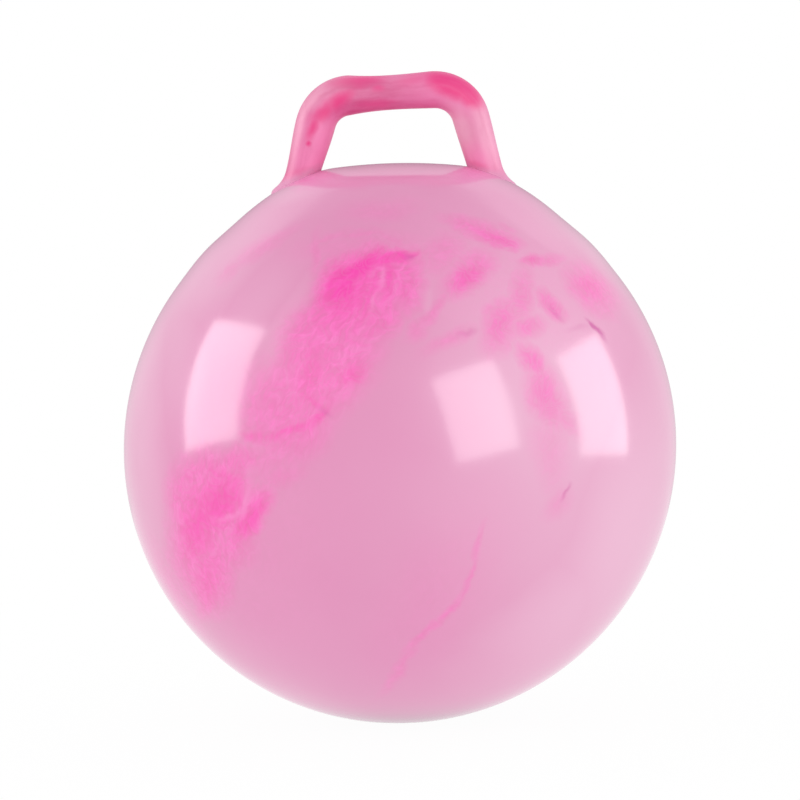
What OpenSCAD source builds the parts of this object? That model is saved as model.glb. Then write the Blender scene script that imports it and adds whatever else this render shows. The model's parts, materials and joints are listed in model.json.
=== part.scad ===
// Hopper ball: an inflated vinyl ball with a hollow carrying bow on its crown and a push-in air plug.
// Millimetres, +Z up. The origin is the middle of the flat patch that the ball stands on. The bow lies
// in the XZ plane, and the air valve is on the +Y side.

/* [Ball] */
// Outside diameter of the inflated ball
ball_d = 450; // [400:5:520]
// Thickness of the inflated vinyl skin
skin_t = 1; // [0.8:0.1:2]
// Radius of the flat patch where the ball meets the floor
patch_r = 30; // [20:1:40]

/* [Crown] */
// Slope in degrees of the skirt that climbs from the ball to the bow
skirt_slope = 42; // [40:1:44]
// Height of the middle of the crown above a plain ball
crown_rise = 5; // [4:0.5:7]
// Radius of the crown along the bow, between its legs
dome_r = 700; // [550:10:900]
// Radius of the crown across the bow
ridge_r = 176; // [160:1:200]
// Radius of the rounded edge between the crown and the skirt
rim_r = 40; // [30:1:48]

/* [Bow] */
// Diameter of the grip bar at its waist
bar_d = 28.2; // [25:0.2:31]
// Diameter of the two bends
bend_d = 32.6; // [31.4:0.2:36]
// Diameter of each leg at its root
root_d = 27.6; // [25:0.2:31]
// Wall of the bow at the waist of the bar
bow_t = 4; // [3:0.5:6]
// Height of the centreline of the grip bar above the crown
bar_rise = 58.6; // [54:0.2:72]
// Distance along the bar between the centrelines of the legs
bar_span = 114; // [106:1:126]
// Slope of the grip bar in degrees
bar_tilt = 2.6; // [0:0.2:4]
// Lean of each leg from upright in degrees
leg_lean = 15; // [12:1:18]
// Radius of the centreline in the two bends
turn_r = 30; // [24:1:34]
// Radius of the fillet that flares each leg into the skirt
foot_fillet_r = 25; // [18:1:32]

/* [Valve seat] */
// Height of the valve above the equator in degrees
valve_elevation = 25; // [10:1:35]
// Thickness of the skin in the pad round the valve
pad_t = 2.6; // [2.2:0.1:4]
// Diameter of that pad
pad_d = 46; // [40:1:56]
// Diameter of the outer lip
lip_d = 28; // [26:1:34]
// Height of the outer lip above the ball
lip_t = 1.6; // [1.2:0.1:2.4]
// Diameter of the sleeve that passes through the skin
sleeve_d = 19; // [18:0.5:22]
// Length of the sleeve inside the ball, from the surface of the ball
sleeve_l = 17; // [15:0.5:22]
// Diameter of the inner flange
flange_d = 32; // [28:1:38]
// Thickness of the inner flange
flange_t = 2; // [1.5:0.1:3]
// Depth of the recess that the head of the plug drops into
recess_depth = 1.8; // [1.4:0.1:2.2]

/* [Air plug] */
// Diameter of the head of the plug
head_d = 13; // [11:0.5:15]
// Thickness of the head
head_t = 2.2; // [1.8:0.1:2.8]
// Diameter of the stem under the head
stem_d = 7.6; // [6.8:0.1:8.4]
// Diameter of the stem at its tip
tip_d = 6.6; // [5.6:0.1:7]
// Length of the stem
stem_l = 18; // [15:0.5:22]
// Number of grooves between the sealing ribs
groove_n = 3; // [2:1:4]
// Width of a groove
groove_w = 1.6; // [1:0.1:2]
// Depth of a groove
groove_depth = 0.5; // [0.3:0.1:0.8]

/* [Hidden] */
$fn = 96;

// Overrun of cuts past the faces that they open
overrun = 2;
// Angle in degrees at which neighbouring arcs and lines of the outline cross, so that none only grazes
cross_angle = 3;
// Lap of the straight runs of the bow into its bends, and the step left round them there
lap_l = 1;
lap_step = 0.1;
// Length of the legs below the dome before the crown trims them
leg_overrun = 30;
// Gap between the sleeve and the hole in the skin, which the bond fills
bond_gap = 0.1;
// Running gap between the plug and its seat, on the stem and under the head
plug_gap = 0.08;
// Gap round the head of the plug
head_gap = 0.5;
// Rounding of the lip's upper edge
lip_round_r = 1;
// Rounding of the head's upper edge
head_round_r = 0.8;
// Radius of the scoop beside the head that lets a fingernail under it
scoop_r = 5;
// Depth of that scoop below the top of the lip
scoop_depth = 1.5;
// Length of the bevelled nose of the stem, which narrows by half as much
nose_l = 1.6;

// Sizes that follow from the ones above
ball_r = ball_d / 2;
bow_bore_r = bar_d / 2 - bow_t;
centre_z = sqrt(ball_r * ball_r - patch_r * patch_r);
crown_top = ball_r + crown_rise;
bar_z = crown_top + bar_rise;

// Outline of the crown in the plane of the axis, from the centre of the ball. The skirt is a line square
// to skirt_out, the dome an arc about dome_c, and the rim an arc about rim_c that stands a little proud
// of both, so that it crosses them.
skirt_out = [sin(skirt_slope), cos(skirt_slope)];
skirt_up = [-cos(skirt_slope), sin(skirt_slope)];
skirt_dist = ball_r * cos(cross_angle);
rim_reach = rim_r * cos(cross_angle);
dome_c = [0, crown_top - dome_r];
rim_c = let(
    foot = (skirt_dist - rim_reach) * skirt_out,
    from_dome = foot - dome_c,
    reach = dome_r - rim_reach,
    half = skirt_up * from_dome
) foot + skirt_up * (sqrt(half * half - from_dome * from_dome + reach * reach) - half);

// Path of the bow in the XZ plane, from the centre of the ball. Headings are in degrees from +Z towards +X.
// A corner is where the centrelines of the bar and a leg cross, and side is -1 on the left and 1 on the right.
bar_heading = 90 - bar_tilt;
left_turn = bar_heading - leg_lean;
right_turn = 180 - leg_lean - bar_heading;
left_trim = turn_r * tan(left_turn / 2);
right_trim = turn_r * tan(right_turn / 2);
bar_l = bar_span - left_trim - right_trim;
function heading_vector(heading) = [sin(heading), cos(heading)];
function corner(side) = [0, bar_z] + side * bar_span / 2 * heading_vector(bar_heading);

// Distance down a leg's centreline from its corner to the dome
function leg_l(side) = let(
    from_dome = corner(side) - dome_c,
    half = heading_vector(180 - side * leg_lean) * from_dome
) -half - sqrt(half * half - from_dome * from_dome + dome_r * dome_r);

// Distance down a leg's centreline from its corner to where the fillet of its foot starts, both sides
// worked out as if on the right
function fillet_start(side) = let(
    down = heading_vector(180 - leg_lean),
    from_leg = (root_d / 2 + foot_fillet_r) * [cos(leg_lean), sin(leg_lean)],
    from_ball = skirt_dist + foot_fillet_r * cos(cross_angle)
) (from_ball - skirt_out * ([side * corner(side).x, corner(side).y] + from_leg)) / (skirt_out * down);

// Valve sizes along the valve's axis, from the centre of the ball
lip_top = ball_r + lip_t;
recess_floor = lip_top - recess_depth;
sleeve_end = ball_r - sleeve_l;
stem_taper_share = (stem_d - tip_d) / 2 / stem_l;
function stem_r(depth) = stem_d / 2 - depth * stem_taper_share;

// Half outline of the ball, flat at the bottom and moved inwards by inset
module ball_outline(inset) {
    intersection() {
        circle(ball_r - inset);
        translate([0, inset - centre_z]) square([ball_r, ball_r + centre_z]);
    }
}

// Half outline of the crown in the plane of the bow, moved inwards by inset
module crown_outline(inset) {
    skirt_line = skirt_dist - inset;
    skirt_foot = skirt_line * skirt_out;
    skirt_head = rim_c + (skirt_line - rim_c * skirt_out) * skirt_out;
    dome_edge = dome_c + (dome_r - inset) * (rim_c - dome_c) / norm(rim_c - dome_c);
    polygon([[0, 0], skirt_foot, skirt_head, dome_edge, [0, dome_edge.y]]);
    translate(rim_c) circle(rim_r - inset);
    intersection() {
        translate(dome_c) circle(dome_r - inset);
        translate([0, dome_edge.y]) square([dome_edge.x, crown_top - dome_edge.y]);
    }
}

// Solid of the ball with its crown, moved inwards by inset. The ridge rounds the crown off across the bow.
module ball_form(inset) {
    translate([0, 0, centre_z]) {
        rotate_extrude() ball_outline(inset);
        intersection() {
            rotate_extrude() crown_outline(inset);
            translate([0, 0, crown_top - ridge_r]) rotate([0, 90, 0])
                cylinder(r = ridge_r - inset, h = ball_d, center = true);
        }
    }
}

// Places its children at a point of the bow's path with +Z along a heading
module on_path(point, heading) {
    translate([point.x, 0, centre_z + point.y]) rotate([0, heading, 0]) children();
}

// Places its children at a corner of the bow's path with +Z down the leg
module on_leg(side) {
    on_path(corner(side), 180 - side * leg_lean) children();
}

// Bend of a tube that leaves the origin along +Z and turns towards +X
module bend(r, turn) {
    translate([turn_r, 0, 0]) rotate([90, 0, 0])
        rotate_extrude(angle = turn, start = 180 - turn) translate([turn_r, 0]) circle(r);
}

// Both bends of the bow at radius r, with the bar that joins them as children along +Z from the left bend
module bar_and_bends(r) {
    on_path(corner(-1) + left_trim * heading_vector(bar_heading), bar_heading) {
        mirror([0, 0, 1]) bend(r, left_turn);
        translate([0, 0, bar_l]) bend(r, right_turn);
        translate([0, 0, -lap_l]) children();
    }
}

// Inside of the bow: one bore from foot to foot
module bow_bore() {
    run_r = bow_bore_r - lap_step;
    bar_and_bends(bow_bore_r) cylinder(r = run_r, h = bar_l + 2 * lap_l);
    on_leg(-1) translate([0, 0, left_trim - lap_l]) cylinder(r = run_r, h = leg_l(-1) + leg_overrun);
    on_leg(1) translate([0, 0, right_trim - lap_l]) cylinder(r = run_r, h = leg_l(1) + leg_overrun);
}

// Half outline of the grip bar, waisted by one long arc
module bar_outline() {
    end_r = bend_d / 2 - lap_step;
    half_l = bar_l / 2 + lap_l;
    waist_depth = end_r - bar_d / 2;
    waist_r = (half_l * half_l + waist_depth * waist_depth) / (2 * waist_depth);
    difference() {
        square([end_r, 2 * half_l]);
        translate([bar_d / 2 + waist_r, half_l]) circle(waist_r);
    }
}

// Leg that tapers from its bend to its root and flares into the skirt of the crown
module leg(side, trim) {
    root_r = root_d / 2;
    fillet_z = fillet_start(side);
    flare_turn = 90 - leg_lean - skirt_slope;
    flare_w = foot_fillet_r * (1 - cos(flare_turn));
    on_leg(side) rotate_extrude() {
        polygon([[0, trim - lap_l], [bend_d / 2 - lap_step, trim - lap_l], [root_r, fillet_z], [0, fillet_z]]);
        translate([0, fillet_z]) difference() {
            square([root_r + flare_w, foot_fillet_r * sin(flare_turn)]);
            translate([root_r + foot_fillet_r, 0]) circle(foot_fillet_r);
        }
    }
}

// Places its children with +Z along the valve's axis, from the centre of the ball
module on_valve() {
    translate([0, 0, centre_z]) rotate([valve_elevation - 90, 0, 0]) children();
}

// Disc that hangs below the XY plane, with its upper edge rounded
module rounded_disc(r, thickness, round_r) {
    rotate_extrude() {
        translate([0, -thickness]) square([r, thickness - round_r]);
        translate([0, -round_r]) square([r - round_r, round_r]);
        translate([r - round_r, -round_r]) circle(round_r);
    }
}

// Inflated skin with its crown, two ports into the bow and a thickened pad round the valve
module ball_skin() {
    color("#e8a1c5") difference() {
        union() {
            difference() {
                ball_form(0);
                ball_form(skin_t);
            }
            on_valve() difference() {
                intersection() {
                    sphere(ball_r - skin_t / 2);
                    cylinder(d = pad_d, h = ball_d);
                }
                sphere(ball_r - pad_t);
            }
        }
        bow_bore();
        on_valve() cylinder(d = sleeve_d + 2 * bond_gap, h = ball_d);
    }
}

// Hollow carrying bow whose flared feet sit on the crown
module handle_bow() {
    color("#ee5f9f") difference() {
        union() {
            bar_and_bends(bend_d / 2) rotate_extrude() bar_outline();
            leg(-1, left_trim);
            leg(1, right_trim);
        }
        ball_form(0);
        bow_bore();
    }
}

// Soft grommet that is bonded into the skin and holds the plug
module valve_seat() {
    bore_l = sleeve_l + lip_t;
    color("#f1c3d8") on_valve() difference() {
        union() {
            difference() {
                translate([0, 0, lip_top]) rounded_disc(lip_d / 2, lip_t + overrun, lip_round_r);
                sphere(ball_r);
            }
            translate([0, 0, sleeve_end]) cylinder(d = sleeve_d, h = sleeve_l + lip_t / 2);
            intersection() {
                translate([0, 0, ball_r - pad_t - flange_t]) cylinder(d = flange_d, h = flange_t + overrun);
                sphere(ball_r - pad_t);
            }
        }
        translate([0, 0, recess_floor]) cylinder(r = head_d / 2 + head_gap, h = recess_depth + overrun);
        translate([0, 0, recess_floor - bore_l])
            cylinder(r1 = stem_r(bore_l) + plug_gap, r2 = stem_r(0) + plug_gap, h = bore_l);
        translate([0, head_d / 2 + head_gap, lip_top + scoop_r - scoop_depth]) rotate([90, 0, 0]) sphere(scoop_r);
    }
}

// Push-in plug with a rounded head and grooves between the sealing ribs of its tapered stem
module valve_plug() {
    pitch = (stem_l - nose_l) / (groove_n + 1);
    ribs = [for (i = [1:groove_n]) each let(top = i * pitch, low = top + groove_w) [
        [stem_r(top), -top],
        [stem_r(top) - groove_depth, -top],
        [stem_r(low) - groove_depth, -low],
        [stem_r(low), -low]
    ]];
    nose = [
        [stem_r(stem_l - nose_l), nose_l - stem_l],
        [stem_r(stem_l) - nose_l / 2, -stem_l],
        [0, -stem_l]
    ];
    color("white") on_valve() translate([0, 0, recess_floor + plug_gap]) {
        translate([0, 0, head_t]) rounded_disc(head_d / 2, head_t, head_round_r);
        rotate_extrude() polygon(concat([[0, head_t / 2], [stem_r(0), head_t / 2], [stem_r(0), 0]], ribs, nose));
    }
}

ball_skin();
handle_bow();
valve_seat();
valve_plug();
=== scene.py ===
# %% [markdown]
# # A hopper ball of marbled vinyl
# The solid model already holds the sizes of this toy: an inflated ball, a hollow carrying bow on its crown,
# and an air plug in a soft grommet at the back. This lesson dresses it. The ball and the bow are modelled
# again as smooth meshes, because air and heat leave no edges on a blown vinyl skin, and the two small valve
# parts keep their solids. The finishes are then built from nodes, and a small studio lights them.

# %% Load the solid model
import json
import math
import bmesh
import bpy
from mathutils import Matrix, Vector
from mathutils.geometry import intersect_line_sphere


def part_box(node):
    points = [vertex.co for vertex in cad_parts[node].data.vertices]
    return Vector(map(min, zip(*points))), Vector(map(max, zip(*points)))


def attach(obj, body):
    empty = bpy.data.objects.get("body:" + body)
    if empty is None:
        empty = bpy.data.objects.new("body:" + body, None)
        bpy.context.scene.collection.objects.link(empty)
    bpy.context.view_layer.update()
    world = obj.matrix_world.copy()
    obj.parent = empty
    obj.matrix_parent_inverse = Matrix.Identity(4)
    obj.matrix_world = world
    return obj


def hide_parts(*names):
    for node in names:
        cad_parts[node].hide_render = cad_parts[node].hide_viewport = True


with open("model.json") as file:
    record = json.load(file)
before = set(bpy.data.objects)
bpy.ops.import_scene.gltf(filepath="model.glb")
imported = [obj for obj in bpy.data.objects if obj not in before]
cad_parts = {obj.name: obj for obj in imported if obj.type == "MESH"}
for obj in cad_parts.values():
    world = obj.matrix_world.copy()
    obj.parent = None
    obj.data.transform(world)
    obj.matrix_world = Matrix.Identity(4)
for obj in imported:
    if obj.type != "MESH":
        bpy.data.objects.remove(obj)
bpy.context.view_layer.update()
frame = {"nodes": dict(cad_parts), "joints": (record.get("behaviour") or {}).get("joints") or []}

# Blender works in metres, so a length in millimetres is multiplied by this.
MM = 0.001
print("solids:", sorted(frame["nodes"]))

# %% [markdown]
# ## The sizes that the looks depend on
# The ball's facets fall a hair short of its true radius, so the radius is rounded to the millimetre. The
# flat patch that it stands on then gives the height of its centre. Everything else below is measured from
# that centre.

# %% Ball sizes from the solids
ball_low, ball_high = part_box("ball_skin")
BALL_R = round((ball_high.x - ball_low.x) / 2, 3)
PATCH_R = 30 * MM
CENTRE = Vector((0, 0, math.sqrt(BALL_R ** 2 - PATCH_R ** 2)))
CROWN_TOP = ball_high.z - CENTRE.z
print("ball radius", BALL_R, "centre height", round(CENTRE.z, 4), "crown above it", round(CROWN_TOP, 4))

# %% [markdown]
# ## The camera comes first
# The photograph was taken from far off, a little above the middle of the ball, with the camera slightly
# turned. A long lens gives the same flat perspective. The camera is made before the ball because the
# streaks of colour are placed where they are seen: a spot is given in millimetres to the right of and above
# the middle of the ball, and a ray from the camera finds it on the skin.

# %% Camera at the photograph's place
EYE_DISTANCE = 2.6
EYE_ELEVATION = math.radians(4.5)
EYE_ROLL = math.radians(1.2)
LENS_MM = 143.1
AIM_ABOVE_CENTRE = 38.2 * MM

toward_ball = Vector((0, math.cos(EYE_ELEVATION), -math.sin(EYE_ELEVATION)))
level_up = Vector((0, math.sin(EYE_ELEVATION), math.cos(EYE_ELEVATION)))
level_right = Vector((1, 0, 0))
VIEW_RIGHT = math.cos(EYE_ROLL) * level_right - math.sin(EYE_ROLL) * level_up
VIEW_UP = math.sin(EYE_ROLL) * level_right + math.cos(EYE_ROLL) * level_up
EYE = CENTRE - EYE_DISTANCE * toward_ball

camera_data = bpy.data.cameras.new("photo_camera")
camera_data.lens = LENS_MM
camera = bpy.data.objects.new("photo_camera", camera_data)
bpy.context.scene.collection.objects.link(camera)
back_axis = (EYE - CENTRE - AIM_ABOVE_CENTRE * VIEW_UP).normalized()
up_axis = back_axis.cross(VIEW_RIGHT).normalized()
camera.matrix_world = Matrix((up_axis.cross(back_axis), up_axis, back_axis)).transposed().to_4x4()
camera.location = EYE
bpy.context.scene.camera = camera


def seen_on_ball(right_mm, up_mm):
    """The point of the skin that shows at this place in the camera's view of the ball."""
    aim = CENTRE + right_mm * MM * VIEW_RIGHT + up_mm * MM * VIEW_UP
    hits = [point for point in intersect_line_sphere(EYE, EYE + 2 * (aim - EYE), CENTRE, BALL_R) if point]
    return min(hits, key=lambda point: (point - EYE).length) if hits else aim


print("camera at", [round(part, 3) for part in EYE], "middle of the view on the skin", seen_on_ball(0, 0)[:])

# %% [markdown]
# ## The inflated ball
# A blown skin is a sphere wherever nothing holds it. Here the two feet of the bow draw it up into a crown:
# a skirt climbs towards the feet, and a cap closes it, curved gently along the bow and more across it. An
# icosphere has no poles and even faces, so it takes this form well. Every corner is then moved along its
# own radius, and soft minimum and maximum functions melt the sphere, the skirt and the cap into one another
# as air pressure does. No blown ball is quite true, and this one leans by a hundredth.

# %% Form of the skin
SKIRT_SLOPE = math.radians(41)
SKIRT_REACH = 226.5 * MM
SKIN_LEAN = 0.01
CAP_TOP = CROWN_TOP + 1.3 * MM
CAP_ALONG_R = 450 * MM
CAP_ACROSS_R = 176 * MM
SHOULDER_BLEND = 3 * MM
RIM_BLEND = 24 * MM
PATCH_BLEND = 3 * MM


def soft_min(a, b, blend):
    """The smaller of two lengths, rounded over where they are within blend of each other."""
    near = max(blend - abs(a - b), 0)
    return min(a, b) - near * near / (4 * blend)


def soft_max(a, b, blend):
    """The larger of two lengths, rounded out where they are within blend of each other."""
    return -soft_min(-a, -b, blend)


def skirt_reach(beside, up):
    """How far a ray with these parts runs to the skirt, which fades into the ball below its foot."""
    facing = beside * math.sin(SKIRT_SLOPE) + up * math.cos(SKIRT_SLOPE)
    above_foot = beside * math.cos(SKIRT_SLOPE) < up * math.sin(SKIRT_SLOPE)
    return SKIRT_REACH / facing if above_foot else SKIRT_REACH * facing


def cap_reach(along, across, up):
    """How far a ray with these parts runs to the cap, a paraboloid over the ball's centre."""
    bend = along ** 2 / (2 * CAP_ALONG_R) + across ** 2 / (2 * CAP_ACROSS_R)
    return 2 * CAP_TOP / (up + math.sqrt(up ** 2 + 4 * bend * CAP_TOP))


def skin_reach(ray):
    """Distance from the ball's centre to the outside of the skin along a unit vector."""
    if ray.z > 0:
        skirt = skirt_reach(math.hypot(ray.x, ray.y), ray.z)
        crown = soft_min(skirt, cap_reach(ray.x, ray.y, ray.z), RIM_BLEND)
        return soft_max(BALL_R, crown, SHOULDER_BLEND)
    if ray.z < 0:
        return soft_min(BALL_R, CENTRE.z / -ray.z, PATCH_BLEND)
    return BALL_R


print("reach of the skin at the top", round(skin_reach(Vector((0, 0, 1))), 4))

# %% Ball mesh
skin = bmesh.new()
bmesh.ops.create_icosphere(skin, subdivisions=7, radius=1)
for vert in skin.verts:
    ray = vert.co.normalized()
    vert.co = CENTRE + skin_reach(ray) * ray
    vert.co.x += SKIN_LEAN * (vert.co.z - CENTRE.z)
print("ball mesh:", len(skin.faces), "faces")

# %% [markdown]
# The grommet passes through the skin at the back. When the plug is pulled, its bore must look deep, so the
# skin gets a round pocket there: the faces inside a circle are deleted, the rim is pulled to a true circle
# under the lip, and the open edge is extruded inwards and closed.

# %% Pocket for the valve
POCKET_R = 11 * MM
POCKET_DEPTH = 22 * MM
VALVE_AXIS = Vector(frame["joints"][0]["axis"]).normalized()


def from_valve_axis(point):
    """The part of a point's offset from the ball's centre that is square to the valve's axis."""
    offset = point - CENTRE
    return offset - offset.dot(VALVE_AXIS) * VALVE_AXIS


opened = [face for face in skin.faces
          if (face.calc_center_median() - CENTRE).dot(VALVE_AXIS) > 0
          and from_valve_axis(face.calc_center_median()).length < POCKET_R]
bmesh.ops.delete(skin, geom=opened, context="FACES")
rim_edges = [edge for edge in skin.edges if edge.is_boundary]
for vert in {vert for edge in rim_edges for vert in edge.verts}:
    side = from_valve_axis(vert.co)
    vert.co += (POCKET_R / side.length - 1) * side
walls = bmesh.ops.extrude_edge_only(skin, edges=rim_edges)["geom"]
bmesh.ops.translate(skin, verts=[item for item in walls if isinstance(item, bmesh.types.BMVert)],
                    vec=-POCKET_DEPTH * VALVE_AXIS)
bmesh.ops.holes_fill(skin, edges=[edge for edge in skin.edges if edge.is_boundary])
bmesh.ops.recalc_face_normals(skin, faces=skin.faces[:])
print("pocket: removed", len(opened), "faces, open edges left", sum(edge.is_boundary for edge in skin.edges))

# %% [markdown]
# A mesh becomes a piece of the toy when it has an object, a body to ride on, a slot that names its
# material, and the solid that it stands in for. One helper gives the ball and the bow all but the slot,
# which comes with the material later. The object stays at the origin, because the mesh already holds its
# place.


# %% Turn the mesh into a piece
def make_piece(name, mesh, body, replaced):
    """An object at the origin, smooth shaded, that rides on a body and stands for a solid."""
    data = bpy.data.meshes.new(name)
    for part in mesh.faces[:] + mesh.edges[:]:
        part.smooth = True
    mesh.to_mesh(data)
    mesh.free()
    piece = bpy.data.objects.new(name, data)
    bpy.context.scene.collection.objects.link(piece)
    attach(piece, body)
    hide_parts(replaced)
    return piece


ball = make_piece("inflated_ball", skin, "ball", "ball_skin")
print("piece:", ball.name, len(ball.data.polygons), "faces")

# %% [markdown]
# ## The carrying bow
# The bow is one hollow tube: a leg, a bend, a grip bar that is thinner at its waist, a bend and a leg. A
# curve with a bevel could make it, but its girth changes all the way and its feet flare, so a ring is
# extruded along the path instead, and each new ring is moved, turned and scaled to its station. Every
# corner also remembers where it would lie if the tube were pulled straight, so that streaks of colour can
# follow the bends later.

# %% Sizes of the bow
BAR_RISE = 288.6 * MM
BAR_SPAN = 114 * MM
BAR_TILT = math.radians(2.6)
BAR_HEADING = math.pi / 2 - BAR_TILT
LEFT, RIGHT = -1, 1
LEG_LEAN = {LEFT: math.radians(15.8), RIGHT: math.radians(14.6)}
TURN_R = 30 * MM
WAIST_R = 14.1 * MM
BEND_R = {LEFT: 16.3 * MM, RIGHT: 15.1 * MM}


def heading_vector(heading):
    """Unit vector in the bow's plane, with the heading measured from upright towards +X."""
    return Vector((math.sin(heading), 0, math.cos(heading)))


def corner_turn(side):
    """The angle that the bow turns through between a leg and the grip bar."""
    return BAR_HEADING - LEG_LEAN[LEFT] if side == LEFT else math.pi - LEG_LEAN[RIGHT] - BAR_HEADING


def corner_trim(side):
    """How much of a leg and of the bar a bend takes up, measured from the corner between them."""
    return TURN_R * math.tan(corner_turn(side) / 2)


bar_middle = CENTRE + BAR_RISE * Vector((0, 0, 1))
print("bends turn by", [round(math.degrees(corner_turn(side)), 1) for side in (LEFT, RIGHT)], "degrees")

# %% [markdown]
# A leg tapers from its bend to its root. Where it meets the ball, its outer side flares out with a round
# fillet, as blown vinyl does in the corner of a mould. A station holds a point of the path, the heading
# there and the radius of the tube. Half of the flare goes into the radius and half moves the point
# outwards, so the inner side stays straight.

# %% Legs of the bow
ROOT_R = 13.8 * MM
FLARE_R = 24 * MM
FLARE_TURN = math.radians(45)
FLARE_START = {LEFT: 66 * MM, RIGHT: 69.5 * MM}
FOOT_END = 95 * MM
RINGS_LEG = 26


def ease(share):
    """A smooth step from 0 to 1."""
    share = min(max(share, 0), 1)
    return share * share * (3 - 2 * share)


def leg_girth(side, down, trim):
    """Radius of a leg at a distance down from the corner of the bow."""
    return BEND_R[side] + (ROOT_R - BEND_R[side]) * ease((down - trim) / (FLARE_START[side] - trim))


def leg_flare(side, down):
    """How far the outer side of a leg has flared at a distance down from the corner."""
    flared = min(max(down - FLARE_START[side], 0), FLARE_R * math.sin(FLARE_TURN))
    return FLARE_R - math.sqrt(FLARE_R ** 2 - flared ** 2)


def leg_stations(side):
    """Stations down one leg, from its bend to its foot inside the ball: point, heading and radius."""
    corner = bar_middle + side * BAR_SPAN / 2 * heading_vector(BAR_HEADING)
    trim = corner_trim(side)
    down_heading = math.pi - side * LEG_LEAN[side]
    for step in range(RINGS_LEG):
        down = trim + (FOOT_END - trim) * step / (RINGS_LEG - 1)
        half_flare = leg_flare(side, down) / 2
        outwards = half_flare * heading_vector(down_heading - side * math.pi / 2)
        girth = leg_girth(side, down, trim) + half_flare
        yield corner + down * heading_vector(down_heading) + outwards, down_heading, girth


left_leg = [(point, heading - math.pi, girth) for point, heading, girth in leg_stations(LEFT)][::-1]
right_leg = list(leg_stations(RIGHT))
print("legs:", len(left_leg), "and", len(right_leg), "stations")

# %% [markdown]
# The bends are plain arcs of one girth. The bar between them is waisted by a long curve, which is where
# fingers close. The whole path then runs up the left leg, along the bar and down the right leg.

# %% Bends, grip bar and the whole path
RINGS_BEND = 12
RINGS_BAR = 16


def bend_stations(start, heading, side):
    """Stations round a bend that leaves start along heading and turns towards +X, ends left out."""
    pivot = start + TURN_R * heading_vector(heading + math.pi / 2)
    for step in range(1, RINGS_BEND):
        now = heading + corner_turn(side) * step / RINGS_BEND
        yield pivot - TURN_R * heading_vector(now + math.pi / 2), now, BEND_R[side]


def bar_stations(start, end):
    """Stations along the grip bar, waisted by a long curve."""
    for step in range(RINGS_BAR + 1):
        share = step / RINGS_BAR
        ends = BEND_R[LEFT] + (BEND_R[RIGHT] - BEND_R[LEFT]) * share
        yield start.lerp(end, share), BAR_HEADING, ends + (WAIST_R - ends) * 4 * share * (1 - share)


bar_start = bar_middle - (BAR_SPAN / 2 - corner_trim(LEFT)) * heading_vector(BAR_HEADING)
bar_end = bar_middle + (BAR_SPAN / 2 - corner_trim(RIGHT)) * heading_vector(BAR_HEADING)
stations = list(left_leg)
stations += bend_stations(left_leg[-1][0], LEG_LEAN[LEFT], LEFT)
stations += bar_stations(bar_start, bar_end)
stations += bend_stations(bar_end, BAR_HEADING, RIGHT)
stations += right_leg
print("bow: stations", len(stations), "bar from", bar_start[:], "to", bar_end[:])

# %% [markdown]
# The ring is extruded from station to station. Its corners keep their place in the straightened tube in an
# attribute: the length along the path and the two parts across it.

# %% Bow mesh
RING_SIDES = 40


def station_matrix(point, heading, girth):
    """Places a unit ring at a station, square to the path."""
    turned = Matrix.Translation(point) @ Matrix.Rotation(heading, 4, "Y")
    return turned @ Matrix.Diagonal((girth, girth, 1, 1))


bow_mesh = bmesh.new()
straight = bow_mesh.verts.layers.float_vector.new("straight")
ring = bmesh.ops.create_circle(bow_mesh, segments=RING_SIDES, radius=1)["verts"]
bmesh.ops.transform(bow_mesh, verts=ring, matrix=station_matrix(*stations[0]))
edges = bow_mesh.edges[:]
along = 0
for before, after in zip(stations, stations[1:]):
    grown = bmesh.ops.extrude_edge_only(bow_mesh, edges=edges)["geom"]
    ring = [item for item in grown if isinstance(item, bmesh.types.BMVert)]
    edges = [item for item in grown if isinstance(item, bmesh.types.BMEdge)]
    placed = station_matrix(*after)
    bmesh.ops.transform(bow_mesh, verts=ring, matrix=placed @ station_matrix(*before).inverted())
    along += (after[0] - before[0]).length
    for vert in ring:
        across = WAIST_R * (placed.inverted() @ vert.co)
        vert[straight] = (along, across.x, across.y)
bmesh.ops.holes_fill(bow_mesh, edges=[edge for edge in bow_mesh.edges if edge.is_boundary])
bmesh.ops.recalc_face_normals(bow_mesh, faces=bow_mesh.faces[:])
bow = make_piece("carrying_bow", bow_mesh, "ball", "handle_bow")
rounding = bow.modifiers.new("rounding", "SUBSURF")
rounding.levels = rounding.render_levels = 1
print("piece:", bow.name, len(bow.data.polygons), "faces before rounding")

# %% [markdown]
# ## Nodes and colours
# One helper adds a node, sets it up and links it, so that each finish below reads as a list of what it is
# made of. Colours are written as the hex values a painter would pick, and one function turns them into the
# linear values that the renderer works in.


# %% Helpers for materials
def linear(hex_colour):
    """An sRGB hex colour as linear red, green, blue and alpha."""
    parts = [int(hex_colour[i:i + 2], 16) / 255 for i in (1, 3, 5)]
    return [part / 12.92 if part <= 0.04045 else ((part + 0.055) / 1.055) ** 2.4 for part in parts] + [1]


def add(tree, kind, settings, inputs):
    """Adds a node with its settings, and gives each input a value or a link from another node."""
    node = tree.nodes.new(kind)
    for name, value in settings.items():
        setattr(node, name, value)
    for name, value in inputs.items():
        if isinstance(value, bpy.types.Node):
            value = value.outputs[0]
        if isinstance(value, bpy.types.NodeSocket):
            tree.links.new(value, node.inputs[name])
        else:
            node.inputs[name].default_value = value
    return node


def new_material(name):
    """An empty node material and its tree."""
    material = bpy.data.materials.new(name)
    material.use_nodes = True
    material.node_tree.nodes.clear()
    return material, material.node_tree


MIX_FACTOR, MIX_A, MIX_B, MIX_RESULT = 0, 6, 7, 2
print("pink as linear:", [round(part, 3) for part in linear("#e8a1c5")])

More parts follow.
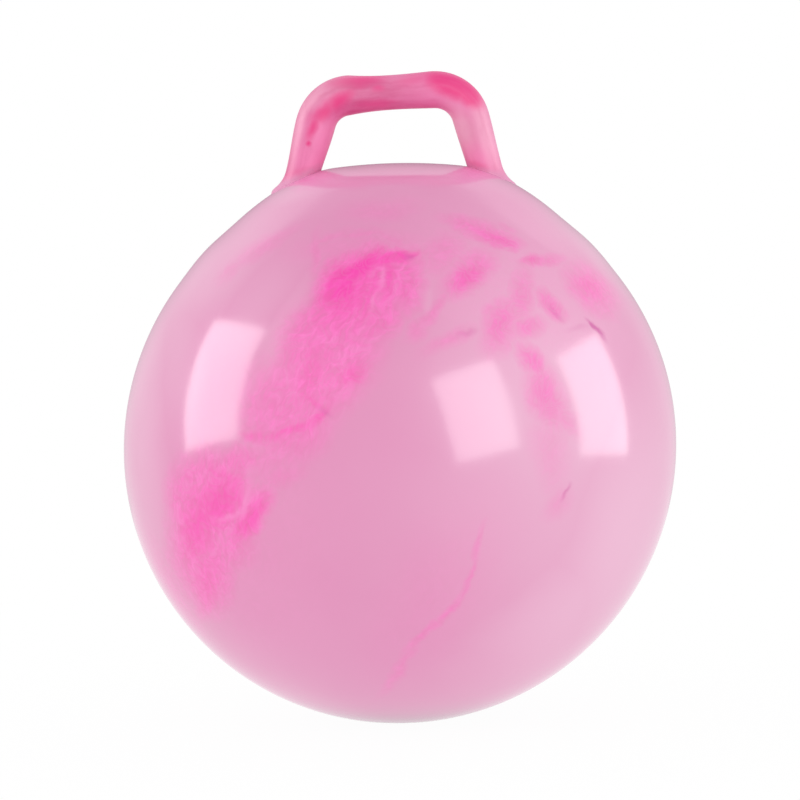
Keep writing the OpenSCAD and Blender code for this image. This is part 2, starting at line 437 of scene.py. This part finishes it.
# %% [markdown]
# ## Marbled vinyl
# The skin is soft PVC. The moulder drops a little deep pink paste into the pale one, and the turning mould
# drags it into streaks, veils and flecks. Each streak here is an ellipsoid: a Mapping node moves, turns and
# stretches space so that the ellipsoid becomes a unit ball, and a spherical gradient then falls from 1 in
# its middle to 0 at its edge. Noise bends the coordinates first, coarsely and finely, so that the edges
# curl as the paste did.

# %% Streaks seen on the front of the ball
# Each row holds: right and up in mm, turn in degrees, half length and half width in mm, softness and
# strength.
PALE_VEILS = [
    # The first three rows are broad and make the right half of the skin paler.
    (124, 62, 90, 150, 74, 1.0, 0.68),
    (180, -60, 80, 100, 55, 1.0, 0.7),
    (140, -125, 40, 70, 40, 1.0, 0.55),
    (156, 170, -45, 45, 20, 1.0, 0.6),
    (-139, 145, 45, 45, 18, 1.0, 0.3),
    (-112, 120, 55, 40, 18, 1.0, 0.25),
    (-180, 60, 85, 50, 14, 1.0, 0.25),
    (-205, 5, 90, 80, 14, 1.0, 0.3),
    (-96, 96, 62, 40, 7, 1.0, 0.3),
    (-86, 207, 15, 21, 8, 1.0, 0.2),
    (68, 122, 45, 18, 7, 1.0, 0.4),
    (125, 92, -20, 16, 8, 1.0, 0.4),
    (22, 120, 70, 14, 5, 1.0, 0.3),
]
MAIN_STREAK = [
    (-34, 122, 60, 44, 32, 0.5, 1.0),
    (-61, 75, 62, 51, 35, 0.6, 0.95),
    (-91, 33, 60, 41, 34, 0.7, 0.85),
    (-4, 155, 5, 20, 7, 0.6, 1.0),
    (5, 136, 75, 24, 13, 0.8, 1.0),
    (-108, -7, 35, 33, 15, 1.0, 0.55),
    (-100, 9, 12, 28, 4, 1.0, 0.7),
    (-72, 20, 30, 16, 5, 1.0, 0.7),
]
LOWER_STREAK = [
    (-158, -44, 60, 41, 34, 0.55, 1.0),
    (-121, -56, 55, 25, 13, 0.8, 0.95),
    (-164, -88, 92, 48, 28, 0.7, 0.95),
    (-160, -125, 80, 18, 8, 0.9, 0.8),
    (-185, -115, -66, 36, 10, 1.0, 0.55),
    (-135, -12, 10, 21, 11, 0.9, 0.9),
    (-142, -78, 60, 28, 19, 1.0, 0.9),
    (-100, -24, 25, 18, 9, 1.0, 0.5),
]
RIGHT_FLECKS = [
    (69, 175, -21, 28, 7, 0.9, 0.8),
    (86, 167, -30, 10, 5, 0.8, 0.7),
    (87, 179, -20, 9, 3, 1.0, 0.4),
    (56, 142, 40, 23, 12, 0.9, 0.85),
    (36, 158, 30, 20, 13, 1.0, 0.5),
    (116, 152, 2, 18, 5, 0.9, 0.7),
    (98, 122, 80, 21, 11, 1.0, 0.7),
    (124, 116, -45, 15, 7, 0.9, 0.85),
    (157, 130, -35, 22, 13, 0.9, 0.9),
    (164, 119, -50, 15, 7, 1.0, 0.6),
    (83, 99, 60, 20, 12, 1.0, 0.85),
    (104, 99, 0, 14, 8, 1.0, 0.75),
    (107, 71, -52, 16, 8, 0.9, 0.85),
    (119, 43, -72, 24, 11, 1.0, 0.85),
    (133, 24, -60, 14, 6, 1.0, 0.5),
    (123, -2, -85, 28, 11, 1.0, 0.35),
    (25, 111, 42, 21, 5, 1.0, 0.55),
    (11, 96, 60, 8, 7, 1.0, 0.5),
    (39, 87, 20, 18, 5, 1.0, 0.45),
    (74, 110, -10, 7, 5, 1.0, 0.5),
    (98, 129, -30, 74, 45, 1.0, 0.2),
    (128, -46, 50, 11, 7, 1.0, 0.35),
]
FAINT_LINES_AND_FOOT_SHADE = [
    (-29, 164, 3, 43, 9, 1.0, 0.3),
    (-58, 171, 20, 14, 2.5, 1.0, 0.35),
    (-32, 174, 0, 20, 2.5, 1.0, 0.35),
    (-3, 169, -25, 18, 2.5, 1.0, 0.35),
    (-68, 157, 85, 15, 4, 1.0, 0.45),
    (-15, 194, 4, 25, 7, 1.0, 0.3),
    (-113, 163, 28, 25, 5, 1.0, 0.4),
    (-139, 145, 40, 11, 4, 1.0, 0.35),
    # The next two rows lie at the feet of the bow and deepen the pink of the skin there: painted shade in
    # the corner where the skin turns up into the feet.
    (-77, 219, 5, 18, 8, 1.0, 0.6),
    (57, 223, -5, 15, 7, 1.0, 0.6),
    (65, -80, 78, 15, 2.5, 1.0, 0.55),
    (56, -107, 65, 20, 2.5, 1.0, 0.6),
    (39, -133, 52, 16, 3, 1.0, 0.7),
    (20, -153, 45, 20, 3, 1.0, 0.65),
    (0, -181, 58, 23, 4, 1.0, 0.5),
    (33, -117, 58, 66, 30, 1.0, 0.15),
    (-145, -70, 75, 110, 65, 1.0, 0.2),
]
DEEP_STREAKS = [
    (-47, 133, 45, 17, 9, 0.8, 1.0),
    (-33, 146, 33, 22, 7, 0.8, 1.0),
    (-8, 153, 8, 16, 5, 0.9, 0.8),
    (2, 157, 2, 13, 3.5, 0.8, 0.75),
    (-45, 127, 55, 24, 15, 1.0, 0.7),
    (-7, 140, 70, 16, 4, 1.0, 0.6),
    (-23, 129, 65, 20, 4, 1.0, 0.5),
    (-37, 59, 30, 10, 5, 1.0, 0.5),
    (-74, 58, 70, 18, 8, 1.0, 0.3),
    (-72, 37, -35, 11, 2.5, 1.0, 0.4),
    (-67, 24, 45, 11, 3, 0.9, 0.6),
    (-90, 14, 18, 20, 2.5, 0.9, 0.5),
    (-121, 8, 0, 7, 4, 1.0, 0.5),
    (-150, -46, 40, 22, 14, 0.9, 0.8),
    (-166, -66, 80, 21, 9, 1.0, 0.8),
    (-121, -60, 50, 18, 7, 0.9, 0.75),
    (-141, -25, -20, 11, 4, 1.0, 0.45),
    (-160, -109, 82, 20, 7, 1.0, 0.4),
    (79, 169, -28, 11, 3, 0.9, 0.4),
    (53, 138, 45, 10, 6, 1.0, 0.4),
    (106, 150, 3, 7, 3, 0.9, 0.4),
    (152, 132, -30, 10, 5, 1.0, 0.3),
]
PALE_CURLS = [
    (-125, -44, 80, 11, 2, 1.0, 0.5),
    (-138, -56, 20, 11, 2, 1.0, 0.5),
    (-14, 138, 65, 9, 1.6, 1.0, 0.45),
    (-22, 120, 70, 9, 1.6, 1.0, 0.45),
]
MAUVE_LINES = [
    (160, 99, -52, 9, 2, 0.8, 0.9),
    (129, 110, -48, 7, 2, 0.9, 0.25),
    (11, 156, -30, 3, 2, 1.0, 0.5),
    (52, 91, 10, 6, 2, 1.0, 0.3),
    (-62, 29, -25, 6, 2, 1.0, 0.35),
    (135, -38, 55, 6, 1.5, 1.0, 0.5),
    (147, 97, 10, 7, 2, 1.0, 0.2),
]
ROSE_STREAKS_AND_FOOT_SHADE = MAIN_STREAK + LOWER_STREAK + RIGHT_FLECKS + FAINT_LINES_AND_FOOT_SHADE
print("streaks on the front:", len(PALE_VEILS + ROSE_STREAKS_AND_FOOT_SHADE + DEEP_STREAKS + PALE_CURLS + MAUVE_LINES))

# %% [markdown]
# A mask says how much paste lies at each point. It takes the strongest of its streaks, so that neighbours
# run together without a darker overlap. A veil is softer than a streak, so its coordinates are bent by the
# wide swirl alone.

# %% Masks of the ball's streaks
STREAK_DEPTH = 150 * MM
# Each swirl holds the size of its features and its push.
WIDE_SWIRL = (45 * MM, 16 * MM)
FINE_SWIRL = (14 * MM, 6 * MM)
CURL = (5 * MM, 2 * MM)


def streak_mask(tree, place, streaks, find):
    """The strongest of some streaks at every point: each is an ellipsoid squeezed to a unit ball."""
    strongest = None
    for right, up, turn, half_l, half_w, softness, strength in streaks:
        reach = MM / (1 - softness / 2)
        squeezed = add(tree, "ShaderNodeMapping", {"vector_type": "TEXTURE"}, {
            "Vector": place,
            "Location": find(right, up),
            "Rotation": (0, -math.radians(turn), 0),
            "Scale": (half_l * reach, STREAK_DEPTH, half_w * reach),
        })
        ball_of_colour = add(tree, "ShaderNodeTexGradient", {"gradient_type": "SPHERICAL"},
                             {"Vector": squeezed})
        tone = add(tree, "ShaderNodeMapRange", {"interpolation_type": "SMOOTHSTEP"},
                   {"Value": ball_of_colour.outputs["Fac"], "From Max": softness, "To Max": strength})
        if strongest:
            tone = add(tree, "ShaderNodeMath", {"operation": "MAXIMUM"}, {0: strongest, 1: tone})
        strongest = tone
    return strongest


def swirled(tree, place, size, amount):
    """Coordinates pushed about by noise of this feature size, by up to half of amount each way."""
    noise = add(tree, "ShaderNodeTexNoise", {},
                {"Vector": place, "Scale": 1 / size, "Detail": 3.0, "Roughness": 0.55})
    push = add(tree, "ShaderNodeVectorMath", {"operation": "SUBTRACT"},
               {0: noise.outputs[1], 1: (0.5, 0.5, 0.5)})
    scaled = add(tree, "ShaderNodeVectorMath", {"operation": "MULTIPLY"},
                 {0: push, 1: (amount, amount, amount)})
    return add(tree, "ShaderNodeVectorMath", {"operation": "ADD"}, {0: scaled, 1: place})


ball_vinyl, tree = new_material("marbled_soft_pvc")
place = add(tree, "ShaderNodeTexCoord", {}, {}).outputs["Object"]
drawn = swirled(tree, place, *WIDE_SWIRL)
curled = swirled(tree, swirled(tree, drawn, *FINE_SWIRL), *CURL)
veil = streak_mask(tree, drawn, PALE_VEILS, seen_on_ball)
rose = streak_mask(tree, curled, ROSE_STREAKS_AND_FOOT_SHADE, seen_on_ball)
deep = streak_mask(tree, curled, DEEP_STREAKS, seen_on_ball)
pale = streak_mask(tree, curled, PALE_CURLS, seen_on_ball)
mauve = streak_mask(tree, curled, MAUVE_LINES, seen_on_ball)
print("masks:", len(tree.nodes), "nodes")

# %% [markdown]
# Seen close, the paste lies in strands and soft curls. A noise drawn out along the main streak gives the
# strands: they fray the edges of the paste and give it two tones. A second noise is folded back and forth,
# and the contour lines that this makes lighten the paste in curls.

# %% Strands and curls of the paste
STREAK_TURN = math.radians(65)
STRAND_SIZE = (20 * MM, 12 * MM, 12 * MM)
FOLD_STEP = 0.07
CLOUD_SIZE = 120 * MM
along_streak = add(tree, "ShaderNodeMapping", {"vector_type": "TEXTURE"},
                   {"Vector": curled, "Rotation": (0, -STREAK_TURN, 0), "Scale": STRAND_SIZE})
paste = add(tree, "ShaderNodeTexNoise", {},
            {"Vector": along_streak, "Scale": 0.7, "Detail": 1.0, "Distortion": 1.0})
folds = add(tree, "ShaderNodeMath", {"operation": "PINGPONG"}, {0: paste, 1: FOLD_STEP})
curls = add(tree, "ShaderNodeMapRange", {"interpolation_type": "SMOOTHSTEP"},
            {"Value": folds, "From Max": FOLD_STEP, "To Min": 0.8, "To Max": 1.0})
strands = add(tree, "ShaderNodeTexNoise", {},
              {"Vector": along_streak, "Scale": 1.8, "Detail": 3.0, "Distortion": 1.0})
strand_share = add(tree, "ShaderNodeMapRange", {}, {"Value": strands, "From Min": 0.3, "From Max": 0.7})
frayed = add(tree, "ShaderNodeMapRange", {}, {"Value": strand_share, "To Min": 0.72, "To Max": 1.15})
clouds = add(tree, "ShaderNodeTexNoise", {}, {"Vector": drawn, "Scale": 1 / CLOUD_SIZE, "Detail": 2.0})
print("strands of", [round(size / MM) for size in STRAND_SIZE], "mm")

# %% [markdown]
# The camera never sees the back, so its streaks are left to chance. They are the crests of a long noise,
# drawn out as the turning mould drags the paste, and they fade in behind the middle of the ball.

# %% Streaks on the far side
DRAG_TURN = (0.4, math.radians(55), 0.3)
DRAG_SIZE = (300 * MM, 50 * MM, 70 * MM)
FADE_DEPTH = 80 * MM
dragged = add(tree, "ShaderNodeMapping", {"vector_type": "TEXTURE"},
              {"Vector": curled, "Rotation": DRAG_TURN, "Scale": DRAG_SIZE})
crests = add(tree, "ShaderNodeTexNoise", {}, {"Vector": dragged, "Scale": 1.0, "Detail": 3.0})
depth = add(tree, "ShaderNodeSeparateXYZ", {}, {"Vector": place}).outputs["Y"]
behind = add(tree, "ShaderNodeMapRange", {"interpolation_type": "SMOOTHSTEP"},
             {"Value": depth, "From Max": FADE_DEPTH})
far_rose = add(tree, "ShaderNodeMapRange", {"interpolation_type": "SMOOTHSTEP"},
               {"Value": crests, "From Min": 0.54, "From Max": 0.66, "To Max": behind})
far_deep = add(tree, "ShaderNodeMapRange", {"interpolation_type": "SMOOTHSTEP"},
               {"Value": crests, "From Min": 0.62, "From Max": 0.72, "To Max": behind})
rose = add(tree, "ShaderNodeMath", {"operation": "MAXIMUM"}, {0: rose, 1: far_rose})
deep = add(tree, "ShaderNodeMath", {"operation": "MAXIMUM"}, {0: deep, 1: far_deep})
print("far side: streaks of", [round(size / MM) for size in DRAG_SIZE], "mm")

# %% [markdown]
# The colours go on in the order in which they lie: the pale pink of the skin, veils, the rose paste, the
# deep paste, and the thin pale and mauve lines on top. The rose layer also holds a painted shade at the feet
# of the bow. Soft PVC from a polished mould gives the eye a clear gloss, in which lights keep their edges.
# Here and there it is a little duller, and it waves by tenths of a millimetre.

# %% Colours and gloss of the ball
PVC_IOR = 1.54
DULL_SIZE = 30 * MM
WAVE_SIZE = 60 * MM
WAVE_HEIGHT = 0.15 * MM
amounts = []
for layer_mask in (rose, deep):
    torn = add(tree, "ShaderNodeMath", {"operation": "MULTIPLY"}, {0: layer_mask, 1: frayed})
    amounts.append(add(tree, "ShaderNodeMath", {"operation": "MULTIPLY", "use_clamp": True},
                       {0: torn, 1: curls}))
two_tones = []
for dark, light in (("#f464b4", "#ff82cb"), ("#fa3aaa", "#ff58bc")):
    toned = add(tree, "ShaderNodeMix", {"data_type": "RGBA"},
                {MIX_FACTOR: strand_share, MIX_A: linear(dark), MIX_B: linear(light)})
    two_tones.append(toned.outputs[MIX_RESULT])
colour = add(tree, "ShaderNodeMix", {"data_type": "RGBA"},
             {MIX_FACTOR: clouds, MIX_A: linear("#e28cb9"), MIX_B: linear("#e79dc3")})
layers = [(veil, linear("#f5c4dd"))]
layers += zip(amounts, two_tones)
layers += [(pale, linear("#ff94d2")), (mauve, linear("#d45fa6"))]
for amount, layer_colour in layers:
    colour = add(tree, "ShaderNodeMix", {"data_type": "RGBA"},
                 {MIX_FACTOR: amount, MIX_A: colour.outputs[MIX_RESULT], MIX_B: layer_colour})

dulled = add(tree, "ShaderNodeTexNoise", {}, {"Vector": place, "Scale": 1 / DULL_SIZE, "Detail": 4.0})
roughness = add(tree, "ShaderNodeMapRange", {}, {"Value": dulled, "To Min": 0.1, "To Max": 0.17})
waves = add(tree, "ShaderNodeTexNoise", {}, {"Vector": place, "Scale": 1 / WAVE_SIZE, "Detail": 1.0})
relief = add(tree, "ShaderNodeBump", {}, {"Height": waves, "Strength": 1.0, "Distance": WAVE_HEIGHT})
shader = add(tree, "ShaderNodeBsdfPrincipled", {},
             {"Base Color": colour.outputs[MIX_RESULT], "Roughness": roughness, "IOR": PVC_IOR,
              "Normal": relief})
add(tree, "ShaderNodeOutputMaterial", {}, {"Surface": shader})
ball.data.materials.append(ball_vinyl)
print("material:", ball_vinyl.name, len(tree.nodes), "nodes")

# %% [markdown]
# ## Marbled bow
# The bow is the same soft PVC with more paste in it. Its mould was left matt, so it gives the eye a satin
# sheen in place of mirrored lights. Its streaks are placed as those of the ball are, but in the plane that
# the bow stands in. Pale bands down the outer sides of the legs are painted reflections of the side
# softboxes, and a grey-pink line along the top of the bar is painted shade.

# %% Streaks seen on the bow
# The rows read like those of the ball.
BOW_DUSTY_AND_EDGE_SHADE = [
    (-54, 292, 30, 22, 7, 1.0, 0.5),
    # This row along the top edge of the bar is painted shade, greyer than the pink round it.
    (1, 300, 2, 13, 3, 1.0, 0.2),
    (50, 258, -72, 28, 9, 1.0, 1.0),
]
BOW_ROSE = [
    (-64, 249, 72, 28, 13, 1.0, 1.0),
    (-71, 233, 75, 20, 14, 1.0, 1.0),
    (40, 290, -10, 32, 14, 1.0, 0.7),
    (66, 233, -75, 14, 13, 1.0, 0.8),
]
BOW_DEEP = [
    (44, 294, -20, 27, 10, 0.6, 1.0),
    (55, 288, -45, 14, 8, 0.6, 1.0),
    (-49, 282, 29, 12, 5, 0.9, 1.0),
    (-62, 273, 42, 11, 5, 0.9, 1.0),
    (-70, 261, 66, 10, 3.5, 0.9, 0.9),
    (-78, 221, 10, 12, 4, 1.0, 0.9),
    (61, 226, -10, 8, 5, 1.0, 0.9),
    (-34, 298, 5, 19, 5, 1.0, 0.9),
    (14, 300, 3, 17, 4, 1.0, 0.5),
    (-18, 292, 0, 4.5, 2.5, 1.0, 0.7),
    (-20, 280, 5, 13, 3, 1.0, 0.5),
    (-74, 248, 80, 2.2, 2, 0.9, 1.0),
]
# These pale bands down the outer sides of the legs and the left bend are painted reflections of the side
# softboxes.
BOW_PAINTED_SHEEN = [
    (69, 258, -75, 30, 7, 0.8, 0.65),
    (-82, 264, 75, 25, 3.5, 1.0, 0.6),
    (-71, 284, 50, 14, 4, 1.0, 0.5),
]
print("streaks on the bow:", len(BOW_DUSTY_AND_EDGE_SHADE + BOW_ROSE + BOW_DEEP + BOW_PAINTED_SHEEN))

# %% [markdown]
# The paste was drawn out along the tube. A noise that reads the straightened tube's own coordinates is
# stretched along it, so its strands follow the bends. Where a streak lies, they also wear it thin. At its
# roots the bow runs into the skin, so close to the ball it takes the ball's own pink.


# %% Colours and sheen of the bow
def seen_on_bow(right_mm, up_mm):
    """The point in the bow's own plane that shows at this place in the camera's view."""
    return CENTRE + right_mm * MM * VIEW_RIGHT + up_mm * MM * VIEW_UP


BOW_SWIRL = (20 * MM, 6 * MM)
BOW_CURL = (6 * MM, 2 * MM)
TUBE_SWIRL = (12 * MM, 5 * MM)
TUBE_STRANDS = (60 * MM, 9 * MM, 9 * MM)
STRAND_HEIGHT = 0.03 * MM
# Distances from the ball's centre between which the ball's pink gives way to the bow's own.
ROOT_FADE = (234 * MM, 241 * MM)
bow_vinyl, tree = new_material("marbled_bow_pvc")
place = add(tree, "ShaderNodeTexCoord", {}, {}).outputs["Object"]
curled = swirled(tree, swirled(tree, place, *BOW_SWIRL), *BOW_CURL)
in_tube = add(tree, "ShaderNodeAttribute", {"attribute_name": "straight"}, {}).outputs["Vector"]
drawn = add(tree, "ShaderNodeMapping", {"vector_type": "TEXTURE"},
            {"Vector": swirled(tree, in_tube, *TUBE_SWIRL), "Scale": TUBE_STRANDS})
strands = add(tree, "ShaderNodeTexNoise", {}, {"Vector": drawn, "Scale": 1.0, "Detail": 4.0})
strand_share = add(tree, "ShaderNodeMapRange", {}, {"Value": strands, "From Min": 0.3, "From Max": 0.7})
colour = add(tree, "ShaderNodeMix", {"data_type": "RGBA"},
             {MIX_FACTOR: strand_share, MIX_A: linear("#d64e89"), MIX_B: linear("#e67aab")})
bow_layers = [(BOW_DUSTY_AND_EDGE_SHADE, "#f4acc9"), (BOW_ROSE, "#ff8ec4"), (BOW_PAINTED_SHEEN, "#fbb0cf"), (BOW_DEEP, "#ee2884")]
for streaks, layer_colour in bow_layers:
    amount = streak_mask(tree, curled, streaks, seen_on_bow)
    worn = add(tree, "ShaderNodeMapRange", {},
               {"Value": strands, "From Min": 0.3, "From Max": 0.5, "To Min": 0.75})
    amount = add(tree, "ShaderNodeMath", {"operation": "MULTIPLY"}, {0: amount, 1: worn})
    colour = add(tree, "ShaderNodeMix", {"data_type": "RGBA"},
                 {MIX_FACTOR: amount, MIX_A: colour.outputs[MIX_RESULT], MIX_B: linear(layer_colour)})
from_centre = add(tree, "ShaderNodeVectorMath", {"operation": "DISTANCE"}, {0: curled, 1: CENTRE})
root = add(tree, "ShaderNodeMapRange", {"interpolation_type": "SMOOTHSTEP"},
           {"Value": from_centre.outputs["Value"], "From Min": ROOT_FADE[0], "From Max": ROOT_FADE[1],
            "To Min": 0.9, "To Max": 0.0})
colour = add(tree, "ShaderNodeMix", {"data_type": "RGBA"},
             {MIX_FACTOR: root, MIX_A: colour.outputs[MIX_RESULT], MIX_B: linear("#e795bf")})
roughness = add(tree, "ShaderNodeMapRange", {}, {"Value": strands, "To Min": 0.42, "To Max": 0.56})
relief = add(tree, "ShaderNodeBump", {}, {"Height": strands, "Strength": 1.0, "Distance": STRAND_HEIGHT})
shader = add(tree, "ShaderNodeBsdfPrincipled", {},
             {"Base Color": colour.outputs[MIX_RESULT], "Roughness": roughness, "IOR": PVC_IOR,
              "Normal": relief})
add(tree, "ShaderNodeOutputMaterial", {}, {"Surface": shader})
bow.data.materials.append(bow_vinyl)
print("material:", bow_vinyl.name, len(tree.nodes), "nodes")

# %% [markdown]
# ## The valve
# The grommet and the plug are small, and their solids already have every edge, so they only need their
# finishes. The grommet is a softer vinyl than the ball, satin and a little blotchy. The plug is white
# polyethylene, with the faint bloom that this plastic gets.

# %% Finishes of the valve parts
VALVE_IOR = 1.5
GRAIN_SIZE = 0.8 * MM
GRAIN_HEIGHT = 0.03 * MM
# Each row holds: solid, name, two tones, size of the blotches, and least and most roughness.
VALVE_FINISHES = [
    ("valve_seat", "satin_soft_vinyl", "#e090b8", "#e8a6c6", 6 * MM, 0.42, 0.58),
    ("valve_plug", "white_polyethylene", "#f1efe9", "#e6e3da", 3 * MM, 0.32, 0.46),
]
for node, name, dark, light, blotch, smooth, dull in VALVE_FINISHES:
    finish, tree = new_material(name)
    place = add(tree, "ShaderNodeTexCoord", {}, {}).outputs["Object"]
    blotches = add(tree, "ShaderNodeTexNoise", {}, {"Vector": place, "Scale": 1 / blotch, "Detail": 4.0})
    colour = add(tree, "ShaderNodeMix", {"data_type": "RGBA"},
                 {MIX_FACTOR: blotches, MIX_A: linear(dark), MIX_B: linear(light)})
    roughness = add(tree, "ShaderNodeMapRange", {}, {"Value": blotches, "To Min": smooth, "To Max": dull})
    grain = add(tree, "ShaderNodeTexNoise", {}, {"Vector": place, "Scale": 1 / GRAIN_SIZE, "Detail": 2.0})
    relief = add(tree, "ShaderNodeBump", {}, {"Height": grain, "Strength": 0.5, "Distance": GRAIN_HEIGHT})
    shader = add(tree, "ShaderNodeBsdfPrincipled", {},
                 {"Base Color": colour.outputs[MIX_RESULT], "Roughness": roughness, "IOR": VALVE_IOR,
                  "Normal": relief})
    add(tree, "ShaderNodeOutputMaterial", {}, {"Surface": shader})
    for slot in frame["nodes"][node].material_slots:
        slot.material = finish
    print("finish:", name, "on", node)

# %% [markdown]
# ## The studio
# The photograph shows three tall softboxes mirrored in the vinyl, one at each side and one in front, inside
# a white tent that lights everything evenly. The softboxes stand where their reflections say, and only
# reflections see them. The ground and the sky are white to the camera and to reflections, and they give the
# even light.

# %% Softboxes
# Each row holds: name, place in mm, width and height in mm, tilt in degrees, and glow.
SOFTBOXES = [
    ("softbox_left", (-1540, -176, 827), 860, 1120, 14, 4.6),
    ("softbox_front", (840, -1414, 694), 806, 1015, 10, 3.8),
    ("softbox_right", (1600, -70, 577), 820, 960, -2, 3.9),
]
for name, spot, width, height, tilt, glow in SOFTBOXES:
    lamp = bpy.data.lights.new(name, "AREA")
    lamp.shape = "RECTANGLE"
    lamp.size = width * MM
    lamp.size_y = height * MM
    lamp.energy = math.pi * lamp.size * lamp.size_y * glow
    stand = bpy.data.objects.new(name, lamp)
    bpy.context.scene.collection.objects.link(stand)
    away = (Vector(spot) * MM - CENTRE).normalized()
    level = Vector((0, 0, 1)).cross(away).normalized()
    facing = Matrix((level, away.cross(level), away)).transposed().to_4x4()
    turned = facing @ Matrix.Rotation(math.radians(tilt), 4, "Z")
    stand.matrix_world = Matrix.Translation(Vector(spot) * MM) @ turned
    stand.visible_diffuse = False
print("softboxes:", [row[0] for row in SOFTBOXES])

# %% [markdown]
# The camera and the mirrors in the vinyl see a white ground and a white sky. Other rays see how much light
# each gives: the sky the same from all sides, and the floor less where the ball stands, as its shadow
# would. A faint round shade on the floor keeps the ball from floating. Light Path nodes tell the rays
# apart.


# %% Helpers for the studio
def white_to_the_eye(tree, lit, white_share):
    """Mixes a share of white light over a shader for camera, glossy and transmission rays alone."""
    path = add(tree, "ShaderNodeLightPath", {}, {})
    mirrored = add(tree, "ShaderNodeMath", {"operation": "MAXIMUM"},
                   {0: path.outputs["Is Glossy Ray"], 1: path.outputs["Is Transmission Ray"]})
    seen = add(tree, "ShaderNodeMath", {"operation": "MAXIMUM"},
               {0: path.outputs["Is Camera Ray"], 1: mirrored})
    share = add(tree, "ShaderNodeMath", {"operation": "MULTIPLY"}, {0: seen, 1: white_share})
    kind = "ShaderNodeBackground" if lit.type == "BACKGROUND" else "ShaderNodeEmission"
    white = add(tree, kind, {}, {"Color": (1, 1, 1, 1), "Strength": 1.0})
    return add(tree, "ShaderNodeMixShader", {}, {0: share, 1: lit, 2: white})


def make_card(name, side, place):
    """A square card of the studio, put in its place."""
    mesh = bmesh.new()
    bmesh.ops.create_grid(mesh, x_segments=1, y_segments=1, size=side / 2)
    bmesh.ops.transform(mesh, verts=mesh.verts[:], matrix=place)
    data = bpy.data.meshes.new(name)
    mesh.to_mesh(data)
    mesh.free()
    card = bpy.data.objects.new(name, data)
    bpy.context.scene.collection.objects.link(card)
    return card


print("studio helpers:", white_to_the_eye.__name__, make_card.__name__)

# %% White floor
FLOOR_SIDE = 30.0
SHADOW_SPREAD = 0.9
SHADOW_SHARE = 0.03
BOUNCE_LEVEL = 0.96
CONTACT_LEVEL = 0.3
CONTACT_SPREAD = 140 * MM
floor = make_card("floor", FLOOR_SIDE, Matrix.Identity(4))
floor_paint, tree = new_material("white_floor")
# As a lamp, the floor would be two huge triangles, and the edge between them would draw a line on the ball.
floor_paint.cycles.emission_sampling = "NONE"
lit = add(tree, "ShaderNodeBsdfDiffuse", {}, {"Color": linear("#f4f4f4")})
place = add(tree, "ShaderNodeTexCoord", {}, {}).outputs["Object"]
distance = add(tree, "ShaderNodeVectorMath", {"operation": "LENGTH"}, {0: place}).outputs["Value"]
level = add(tree, "ShaderNodeMapRange", {"interpolation_type": "SMOOTHSTEP"},
            {"Value": distance, "From Min": PATCH_R, "From Max": CONTACT_SPREAD,
             "To Min": CONTACT_LEVEL, "To Max": BOUNCE_LEVEL})
bounce = add(tree, "ShaderNodeEmission", {}, {"Strength": level})
diffuse_ray = add(tree, "ShaderNodeLightPath", {}, {}).outputs["Is Diffuse Ray"]
lit = add(tree, "ShaderNodeMixShader", {}, {0: diffuse_ray, 1: lit, 2: bounce})
whiteness = add(tree, "ShaderNodeMapRange", {"interpolation_type": "SMOOTHSTEP"},
                {"Value": distance, "From Max": SHADOW_SPREAD, "To Min": 1 - SHADOW_SHARE, "To Max": 1.0})
add(tree, "ShaderNodeOutputMaterial", {}, {"Surface": white_to_the_eye(tree, lit, whiteness)})
floor.data.materials.append(floor_paint)
print("floor:", FLOOR_SIDE, "m wide,", len(tree.nodes), "nodes")

# %% White sky
SKY_LEVEL = 1.02
sky = bpy.data.worlds.new("studio")
sky.use_nodes = True
sky.node_tree.nodes.clear()
lit = add(sky.node_tree, "ShaderNodeBackground", {}, {"Color": (1, 1, 1, 1), "Strength": SKY_LEVEL})
add(sky.node_tree, "ShaderNodeOutputWorld", {}, {"Surface": white_to_the_eye(sky.node_tree, lit, 1.0)})
bpy.context.scene.world = sky
bpy.context.scene.view_settings.view_transform = "Standard"
print("sky at", SKY_LEVEL)

# %% [markdown]
# A ball on white loses its outline, because its rim mirrors the white behind it, and a white ceiling washes
# out its top. Photographers hang grey cards there, out of the picture. Only reflections see these two, and
# each one fades to white away from its middle, so that no edge of it shows in the vinyl.

# %% Grey cards behind and above the ball
BACK_DISTANCE = 1.2
BACK_LIFT = 0.35
CEILING = 2.5
BEHIND = Matrix.Translation((0, BACK_DISTANCE, CENTRE.z + BACK_LIFT)) @ Matrix.Rotation(math.pi / 2, 4, "X")
ABOVE = Matrix.Translation((0, 0, CEILING))
# Each row holds: name, place, side in metres, colour of the middle, and radius where white starts.
GREY_CARDS = [("card_behind", BEHIND, 3.0, "#a5959d", 1.1), ("card_above", ABOVE, 9.0, "#707070", 4.2)]
for name, spot, side, grey, white_from in GREY_CARDS:
    card = make_card(name, side, spot)
    card.visible_camera = card.visible_diffuse = card.visible_shadow = card.visible_transmission = False
    paint, tree = new_material(name)
    place = add(tree, "ShaderNodeTexCoord", {}, {}).outputs["Object"]
    distance = add(tree, "ShaderNodeVectorMath", {"operation": "DISTANCE"},
                   {0: place, 1: spot.translation}).outputs["Value"]
    share = add(tree, "ShaderNodeMapRange", {"interpolation_type": "SMOOTHSTEP"},
                {"Value": distance, "From Max": white_from})
    shade = add(tree, "ShaderNodeMix", {"data_type": "RGBA"},
                {MIX_FACTOR: share, MIX_A: linear(grey), MIX_B: (1, 1, 1, 1)})
    glow = add(tree, "ShaderNodeEmission", {}, {"Color": shade.outputs[MIX_RESULT]})
    add(tree, "ShaderNodeOutputMaterial", {}, {"Surface": glow})
    card.data.materials.append(paint)
print("grey cards:", [row[0] for row in GREY_CARDS])
